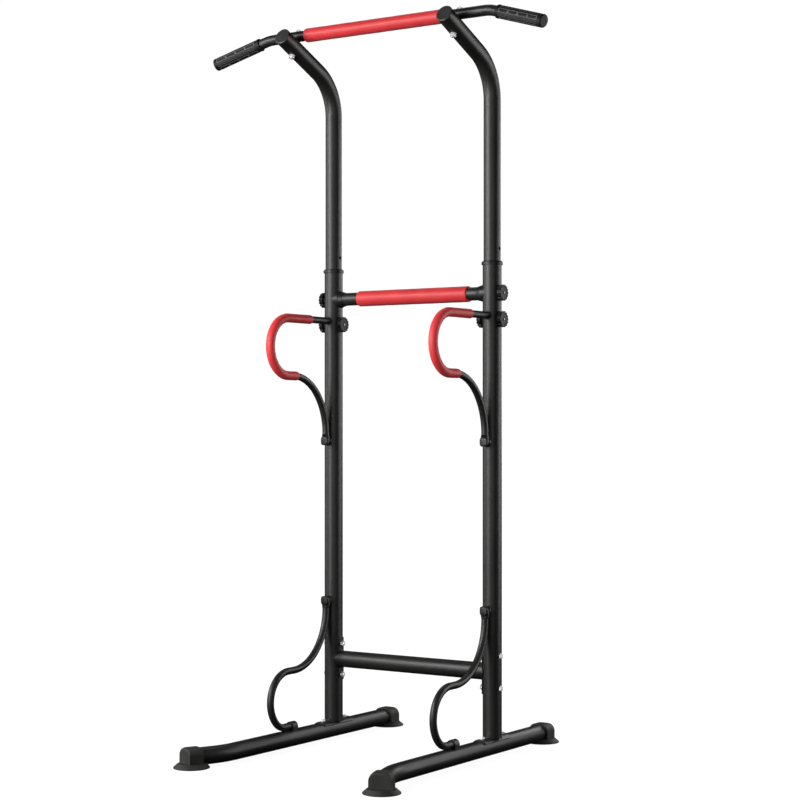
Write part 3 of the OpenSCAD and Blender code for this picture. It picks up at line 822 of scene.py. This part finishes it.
knob_form = knob_shape()
for name, side, way, z in KNOBS:
    place = moved(side * UPRIGHT_X, UPRIGHT_Y, z) @ turned("Y", way * 90)
    piece("hand_knob_" + name, placed(knob_form, place), "clamp_knob_" + name, SHADED_KNOB_PLASTIC,
          ["knob_" + name], sharp=38)


# Feet --------------------------------------------------------------------------------------

CAP_W = 57 * MM
CAP_TOP = 51.5 * MM
CAP_HALF = 20 * MM
DISC_R = 46 * MM
CAP_CORNER_R = 18 * MM
TUBE_PAST_FOOT = 14 * MM


def cap_outline(inset, drop, bottom):
    """The cap's outline as (x, z) points: straight sides and a flat top with round corners."""
    half = CAP_W / 2 - inset
    top = CAP_TOP - drop
    corner = CAP_CORNER_R - inset
    out = [(-half, bottom), (-half, (bottom + top - corner) / 2)]
    for centre_x, first in ((corner - half, 1), (half - corner, 1 / 2)):
        for k in range(13):
            angle = math.pi * (first - k / 24)
            out.append((centre_x + corner * math.cos(angle), top - corner + corner * math.sin(angle)))
    out += [(half, (bottom + top - corner) / 2), (half, bottom)]
    return out


def cap_block():
    """The cap before its tube's hole is cut: its nose at -Y, its roof bowed down to it."""
    bottom = 8 * MM
    nose_drop = 4.5 * MM
    nose_length = 11 * MM
    edge_r = 1.2 * MM
    mouth_r = 1 * MM
    rows = []
    for k in range(9):
        along = k / 8
        y = -CAP_HALF + nose_length * along ** 1.5
        past_edge = min(1, (y + CAP_HALF) / edge_r)
        inset = edge_r * (1 - math.sqrt(1 - (1 - past_edge) ** 2))
        rows.append((y, inset, nose_drop * (1 - along) ** 2 + inset))
    rows += [(CAP_HALF - mouth_r, 0, 0), (CAP_HALF - 0.3 * mouth_r, 0.3 * mouth_r, 0.3 * mouth_r)]
    rows.append((CAP_HALF, mouth_r, mouth_r))
    points = []
    for y, inset, drop in rows:
        points += [(x, y, z) for x, z in cap_outline(inset, drop, bottom)]
    count = len(cap_outline(0, 0, 0))
    faces = grid_faces(len(rows), count)
    last = (len(rows) - 1) * count
    faces.append(tuple(range(count)))
    faces.append(tuple(last + j for j in range(count)))
    return np.array(points, float), faces


def disc_shape():
    """The suction disc, its skirt rising into the cap."""
    profile = rounded(
        [
            (0, 2 * MM), (24 * MM, 2.4 * MM), (42 * MM, 0), (DISC_R, 0), (DISC_R, 2.6 * MM),
            (35.5 * MM, 11.6 * MM), (20 * MM, 13.5 * MM), (0, 13.5 * MM)
        ],
        [0, 3 * MM, 1 * MM, 0.9 * MM, 1.4 * MM, 3 * MM, 2 * MM, 0], 5
    )
    return revolved(profile, 96)


def cut_and_joined(base, additions, cutters):
    """The mesh of base joined with some shapes and cut by others."""
    objects = []
    for index, shape in enumerate([base, *additions, *cutters]):
        obj = bpy.data.objects.new("part", new_mesh("part", shape))
        bpy.context.scene.collection.objects.link(obj)
        objects.append(obj)
        if index:
            step = objects[0].modifiers.new("step", "BOOLEAN")
            step.operation = "UNION" if index <= len(additions) else "DIFFERENCE"
            step.solver = "EXACT"
            step.object = obj
    bpy.context.view_layer.update()
    graph = bpy.context.evaluated_depsgraph_get()
    mesh = bpy.data.meshes.new_from_object(objects[0].evaluated_get(graph), depsgraph=graph)
    for obj in objects:
        bpy.data.objects.remove(obj)
    return mesh


def foot_mesh():
    """A foot with its tube coming in along -Y."""
    bore_length = 80 * MM
    bore = revolved([(0, 0), (BASE_R + SNUG, 0), (BASE_R + SNUG, bore_length), (0, bore_length)], 96)
    bore = placed(bore, moved(0, TUBE_PAST_FOOT + SNUG, BASE_Z) @ turned("X", 90))
    flip = Matrix.Rotation(math.pi, 4, "Z")
    return cut_and_joined(placed(cap_block(), flip), [disc_shape()], [bore])


foot_form = foot_mesh()
for side, word in ((-1, "left"), (1, "right")):
    front = moved(TOE_X, -FOOT_Y, 0) @ Matrix.Rotation(math.pi + TOE_ANGLE, 4, "Z")
    rear = moved(UPRIGHT_X, FOOT_Y, 0)
    for end, place in (("front", front), ("rear", rear)):
        mesh = foot_form.copy()
        mesh.transform(mirrored(side) @ place)
        if side < 0:
            mesh.flip_normals()
        name = f"rubber_foot_{end}_{word}"
        piece(name, mesh, "base_frame", RUBBER, [f"foot_{end}_{word}"], sharp=35)


# End caps, collars and fasteners -----------------------------------------------------------

def lean_place(side):
    """The corner of a leaning top, with +Z along the tube to its end and +X across its back."""
    lean = Matrix.Rotation(LEAN, 4, "X")
    return mirrored(side) @ moved(UPRIGHT_X, UPRIGHT_Y, CORNER_Z) @ lean @ turned("Z", 90)


def bar_bolt_place(side):
    """The pull-up bar's bolt, from the axis of the leaning top, with +Z through the bar."""
    return lean_place(side) @ moved(0, 0, BOLT_REACH) @ turned("Y", 90)


def on_both_sides(shape, place_of):
    """The shape at place_of(1) and, mirrored, at place_of(-1)."""
    return joined([placed(shape, place_of(side)) for side in (-1, 1)])


def plug_shape():
    """A tube's end plug: a low crowned head over a ribbed stem."""
    stem_r = UPPER_R - 1.55 * MM
    stem = [(stem_r - 0.4 * MM * (k % 2), -1.5 * MM * (8 - k)) for k in range(8)]
    head = rounded(
        [(stem_r, 0), (UPPER_R, 0), (UPPER_R, 2.6 * MM), (UPPER_R - 2.2 * MM, 4 * MM), (0, 4.4 * MM)],
        [0, 0.3 * MM, 1 * MM, 2 * MM, 0], 4
    )
    return revolved([(0, -12 * MM), *stem, *head], 96)


def collar_shape():
    """The collar between an upper and a lower upright: a flange, a lip and a guide sleeve."""
    bore = UPPER_R + 0.1 * MM
    sleeve_r = 23.45 * MM
    sleeve_end = -40 * MM
    flange_r = 28 * MM
    lip_r = 25.6 * MM
    top = 10 * MM
    profile = rounded(
        [
            (bore, sleeve_end), (sleeve_r, sleeve_end), (sleeve_r, 0), (flange_r, 0),
            (flange_r, 7.5 * MM), (lip_r + 0.2 * MM, 7.7 * MM), (lip_r, top), (bore, top)
        ],
        [0, 0.3 * MM, 0, 0.8 * MM, 1.2 * MM, 0.8 * MM, 1.6 * MM, 0.5 * MM], 4, closed=True
    )
    return revolved(profile, 96, closed=True)


def hexed(across):
    """A rule for revolved() that trims a turned shape to a hexagon."""
    def radius_at(radius, z, angle):
        return min(radius, across / 2 / math.cos(angle % (math.pi / 3) - math.pi / 6))
    return radius_at


def nut_shape():
    """A hexagon nut, chamfered on both faces."""
    edge = NUT_ACROSS / 2 * 0.96
    chamfer = 1.1 * MM
    bore = BOLT_R + SNUG
    lead = 0.5 * MM
    profile = [
        (bore + lead, 0), (edge, 0), (NUT_CORNER_R, chamfer), (NUT_CORNER_R, NUT_H - chamfer),
        (edge, NUT_H), (bore + lead, NUT_H), (bore, NUT_H - lead), (bore, lead)
    ]
    return revolved(profile, 96, closed=True, radius_at=hexed(NUT_ACROSS))


def bolt_shape(length):
    """A hexagon bolt: its head above z = 0, its thread cut round the end of the shank."""
    pitch = 1.25 * MM
    thread_depth = 0.7 * MM
    thread_start = 1 * MM - length
    thread_end = min(22 * MM, length * 0.8) - length
    rows = np.linspace(thread_start, thread_end, 110)
    profile = [(0, -length), (BOLT_R - 0.9 * MM, -length)]
    profile += [(BOLT_R, z) for z in rows]
    profile += [
        (BOLT_R, 0), (NUT_CORNER_R, 0), (NUT_CORNER_R, BOLT_HEAD_H - 1 * MM),
        (NUT_ACROSS / 2 * 0.95, BOLT_HEAD_H - 0.1 * MM), (4 * MM, BOLT_HEAD_H), (0, BOLT_HEAD_H)
    ]
    trim = hexed(NUT_ACROSS)

    def radius_at(radius, z, angle):
        if z >= 0:
            return trim(radius, z, angle)
        if z > thread_end or z < thread_start:
            return radius
        turn = z / pitch - angle / (2 * math.pi)
        return radius - thread_depth * (1 - abs(2 * (turn - math.floor(turn)) - 1))

    return revolved(profile, 48, radius_at=radius_at)


def squared(shape_power):
    """A rule for revolved() that swells a round shape towards a square."""
    def radius_at(radius, z, angle):
        c, s = abs(math.cos(angle)), abs(math.sin(angle))
        return radius * (c ** shape_power + s ** shape_power) ** (-1 / shape_power)
    return radius_at


def leg_cap_shape():
    """The cap over a leg bolt's head: a rounded square with a broad chamfer and a crowned face."""
    front = LEG_Y + TAB_T / 2
    half = 12 * MM
    squareness = 3.6
    profile = rounded(
        [
            (0, front), (half - 0.6 * MM, front), (half, front + 0.8 * MM), (half, front + 4.2 * MM),
            (half - 2.6 * MM, front + 6.6 * MM), (5 * MM, front + 7.1 * MM), (0, front + 7.2 * MM)
        ],
        [0, 0.3 * MM, 0.5 * MM, 0.9 * MM, 1.2 * MM, 2 * MM, 0], 4
    )
    return revolved(profile, 96, radius_at=squared(squareness))


def leg_spacer_shape():
    """The round spacer between an upright and a flattened leg, bulging like a ball."""
    inner_end = 21 * MM
    outer_end = LEG_Y - TAB_T / 2
    profile = rounded(
        [
            (0, inner_end), (9.6 * MM, inner_end), (12.4 * MM, 25 * MM), (12.6 * MM, 30 * MM),
            (9.8 * MM, outer_end), (0, outer_end)
        ],
        [0, 1 * MM, 6 * MM, 4 * MM, 1.2 * MM, 0], 8
    )
    points, faces = revolved(profile, 64)
    in_tube_wall = np.sqrt(LOWER_R ** 2 - points[:, 0] ** 2) - 0.6 * MM
    points[:, 2] = np.maximum(points[:, 2], in_tube_wall)
    return points, faces


def leg_places(side):
    """The leg bolts of one side, with +Z forward out of the upright."""
    return [
        mirrored(side) @ moved(UPRIGHT_X, UPRIGHT_Y, z) @ turned("X", 90)
        for z in (HANDLE_BOLT_Z, BRACE_BOLT_Z)
    ]


def at_leg_bolts(shape):
    """The shape at each of the four leg bolts."""
    return joined([placed(shape, place) for side in (-1, 1) for place in leg_places(side)])


def frame_bolt_places(side):
    """One side's bolts in turn: of the saddle flange, from above, and of the crossbar, from outside."""
    out = []
    for way in (-1, 1):
        out.append(moved(UPRIGHT_X, UPRIGHT_Y + way * FLANGE_BOLT_Y, BASE_Z + FLANGE_R))
        bar_bolt = moved(UPRIGHT_X + LOWER_R, UPRIGHT_Y, LOW_BAR_Z + way * LOW_BOLT_SPACING / 2)
        out.append(bar_bolt @ turned("Y", 90))
    return [mirrored(side) @ place for place in out]


def add_fasteners():
    """The pull-up bar's bolts and nuts, and the bolts of the base, each kind as one piece."""
    washer_t = 1.6 * MM
    bar_top = BAR_LIFT + PULL_TUBE_R
    bar_bolt = placed(
        bolt_shape(bar_top + UPPER_R + 2 * washer_t + NUT_H + 2 * MM), moved(0, 0, bar_top + washer_t)
    )
    bar_nut = placed(nut_shape(), moved(0, 0, -UPPER_R - washer_t - NUT_H))
    piece("bar_bolts", on_both_sides(bar_bolt, bar_bolt_place), "upper_frame", ZINC,
          ["pull_up_bolts"])
    piece("bar_nuts", on_both_sides(bar_nut, bar_bolt_place), "upper_frame", ZINC,
          ["pull_up_nuts"])
    flange_bolt = bolt_shape(14 * MM)
    crossbar_bolt = bolt_shape(61 * MM)
    bolts = []
    for side in (-1, 1):
        for index, place in enumerate(frame_bolt_places(side)):
            bolts.append(placed(crossbar_bolt if index % 2 else flange_bolt, place))
    piece("hexagon_bolts", joined(bolts), "base_frame", ZINC, ["frame_bolts"])


def add_caps():
    """The plugs and collars of the tubes, and the caps and spacers of the leg bolts."""
    plug = placed(plug_shape(), moved(0, 0, UPPER_REACH))
    piece("tube_end_plugs", on_both_sides(plug, lean_place), "upper_frame", LIT_PLUG_PLASTIC,
          ["top_plugs"])
    for side, word in ((-1, "left"), (1, "right")):
        place = moved(side * UPRIGHT_X, UPRIGHT_Y, LOWER_TOP)
        piece("tube_collar_" + word, placed(collar_shape(), place), "base_frame", PLASTIC,
              ["collar_" + word])
    piece("bolt_caps", at_leg_bolts(leg_cap_shape()), "base_frame", PLASTIC,
          ["leg_caps"])
    piece("ball_spacers", at_leg_bolts(leg_spacer_shape()), "base_frame", STEEL,
          ["leg_spacers"])


add_fasteners()
add_caps()


# Weld beads --------------------------------------------------------------------------------

BEAD_R = 1.7 * MM


def ring_on_tube(tube_r, bar_r, count):
    """Points round a bar of radius bar_r, where it meets a tube along Z of radius tube_r at +X."""
    out = []
    for k in range(count):
        turn = 2 * math.pi * k / count
        y, z = bar_r * math.cos(turn), bar_r * math.sin(turn)
        out.append(Vector((math.sqrt(tube_r ** 2 - y ** 2), y, z)))
    return out


def bead(path, closed):
    """A rippled weld bead that fades out at open ends."""
    count = len(path)

    def radius_at(i):
        ripple = 1 + 0.10 * math.sin(2 * math.pi * i / 4)
        fade = 1 if closed else min(1, 0.25 + min(i, count - 1 - i) / 4)
        return BEAD_R * ripple * fade

    return swept(path, radius_at, 12, closed)


def flange_arc(way):
    """Points where the front or back of an upright meets its saddle flange."""
    half_turn = math.radians(50)
    radius = LOWER_R + 0.3 * MM
    out = []
    for k in range(49):
        turn = half_turn * (k / 24 - 1)
        x, y = radius * math.sin(turn), radius * math.cos(turn)
        out.append(Vector((x, way * y, BASE_Z + math.sqrt(FLANGE_R ** 2 - x ** 2))))
    return out


def add_welds():
    """Beads round the ends of the low crossbar and the handles, and along the saddle flanges."""
    bar = bead(ring_on_tube(PLATE_R, LOW_BAR_R + 0.3 * MM, 160), True)
    handle = bead(ring_on_tube(LOWER_R, HANDLE_R + 0.3 * MM, 80), True)
    shapes = []
    for side in (-1, 1):
        upright = mirrored(side) @ moved(UPRIGHT_X, UPRIGHT_Y, 0)
        shapes.append(placed(bar, upright @ moved(0, 0, LOW_BAR_Z) @ turned("Z", 180)))
        shapes.append(placed(handle, upright @ moved(0, 0, HANDLE_Z) @ turned("Z", -90)))
        for way in (-1, 1):
            shapes.append(placed(bead(flange_arc(way), False), upright))
    piece("weld_beads", joined(shapes), "base_frame", STEEL)


add_welds()


# Camera, light and floor -------------------------------------------------------------------

CAMERA_PLACE = (2.769, -4.031, 0.874)
CAMERA_TURN = math.radians(33.85)


def add_camera():
    """A level camera with a long lens, its frame moved up a little."""
    data = bpy.data.cameras.new("camera")
    data.sensor_width = 36
    data.lens = 84.56
    data.shift_y = 0.024
    data.clip_end = 60
    camera = bpy.data.objects.new("camera", data)
    camera.location = CAMERA_PLACE
    camera.rotation_euler = (math.radians(90), 0, CAMERA_TURN)
    bpy.context.scene.collection.objects.link(camera)
    bpy.context.scene.camera = camera


def add_softbox(name, place, target, size, power):
    """A rectangular lamp, in watts, at a place and aimed at a target."""
    data = bpy.data.lights.new(name, "AREA")
    data.shape = "RECTANGLE"
    data.size, data.size_y = size
    data.energy = power
    light = bpy.data.objects.new(name, data)
    light.location = place
    aim = Vector(target) - Vector(place)
    light.rotation_euler = aim.to_track_quat("-Z", "Y").to_euler()
    bpy.context.scene.collection.objects.link(light)
    light.visible_camera = False
    return light


def only_on(light, names):
    """Keeps a light to the pieces and nodes of those names."""
    lit = bpy.data.collections.new(light.name + "_lit")
    for name in names:
        lit.objects.link(nodes[name] if name in nodes else bpy.data.objects[name])
    light.light_linking.receiver_collection = lit


def add_floor():
    """A pale floor that glows a little more away from the object, so that it meets the backdrop."""
    half = 30
    mesh = bpy.data.meshes.new("floor")
    mesh.from_pydata(
        [(-half, -half, 0), (half, -half, 0), (half, half, 0), (-half, half, 0)], [], [(0, 1, 2, 3)]
    )
    floor = bpy.data.objects.new("floor", mesh)
    floor.location.z = -0.2 * MM
    floor.visible_diffuse = False
    floor.visible_glossy = False
    bpy.context.scene.collection.objects.link(floor)
    material, tree, shader = new_material("pale_floor", Roughness=0.9, Specular_IOR_Level=0.1)
    where = coordinates(tree)
    colour = ramp(tree, noise(tree, where, 2, 2), [(0.3, (0.19, 0.19, 0.19)), (0.7, (0.21, 0.21, 0.21))])
    tree.links.new(colour, shader.inputs["Base Color"])
    distance = tree.nodes.new("ShaderNodeVectorMath")
    distance.operation = "LENGTH"
    tree.links.new(where, distance.inputs[0])
    glow = spread(tree, distance.outputs["Value"], 0.93, 1.03, 0.5, 3.0)
    tree.links.new(glow, shader.inputs["Emission Strength"])
    shader.inputs["Emission Color"].default_value = (1, 1, 1, 1)
    mesh.materials.append(material)


def add_world():
    """An even white backdrop, seen by the camera alone."""
    world = bpy.data.worlds.new("studio")
    bpy.context.scene.world = world
    world.use_nodes = True
    background = world.node_tree.nodes["Background"]
    background.inputs["Color"].default_value = (1, 1, 1, 1)
    background.inputs["Strength"].default_value = 1.03
    world.cycles_visibility.glossy = False
    world.cycles_visibility.diffuse = False


def around(azimuth, distance, height):
    """A place round the object. Azimuth is counted in degrees from +X towards +Y."""
    angle = math.radians(azimuth)
    return (distance * math.cos(angle), 0.1 + distance * math.sin(angle), height)


add_camera()
add_world()
add_floor()

# The softboxes stand round the object. The last three each light only a few pieces.
MIDDLE = (0, 0.1, 1.0)
add_softbox("key", around(-122, 3.4, 2.3), MIDDLE, (1.3, 1.5), 72)
add_softbox("front", around(-104, 3.4, 1.2), MIDDLE, (1.6, 2.3), 62)
add_softbox("rim", around(38, 3.4, 1.2), MIDDLE, (1.7, 2.2), 46)
add_softbox("back", around(80, 3.4, 1.6), MIDDLE, (1.6, 1.6), 28)
add_softbox("left", around(200, 3.4, 1.5), MIDDLE, (1.6, 2.6), 32)
add_softbox("high", around(122, 2.0, 3.9), MIDDLE, (1.3, 1.3), 9)
add_softbox("fill", around(-56, 5.0, 1.4), MIDDLE, (2.6, 2.4), 24)
glint = add_softbox("glint", around(-70, 3.0, 3.4), MIDDLE, (3.0, 3.0), 70)
only_on(glint, ["bar_bolts", "bar_nuts", "arch_washers"])
NEAR_FLOOR = (0, 0.1, 0.1)
low_glint = add_softbox("low_glint", around(-60, 2.6, 2.2), NEAR_FLOOR, (3.0, 2.4), 170)
only_on(low_glint, ["hexagon_bolts"])
soft_red = add_softbox("soft_red", around(-78, 4.0, 1.7), MIDDLE, (3.0, 3.0), 46)
only_on(soft_red, ["dip_pad_left", "dip_pad_right"])
bpy.context.scene.view_settings.view_transform = "Standard"
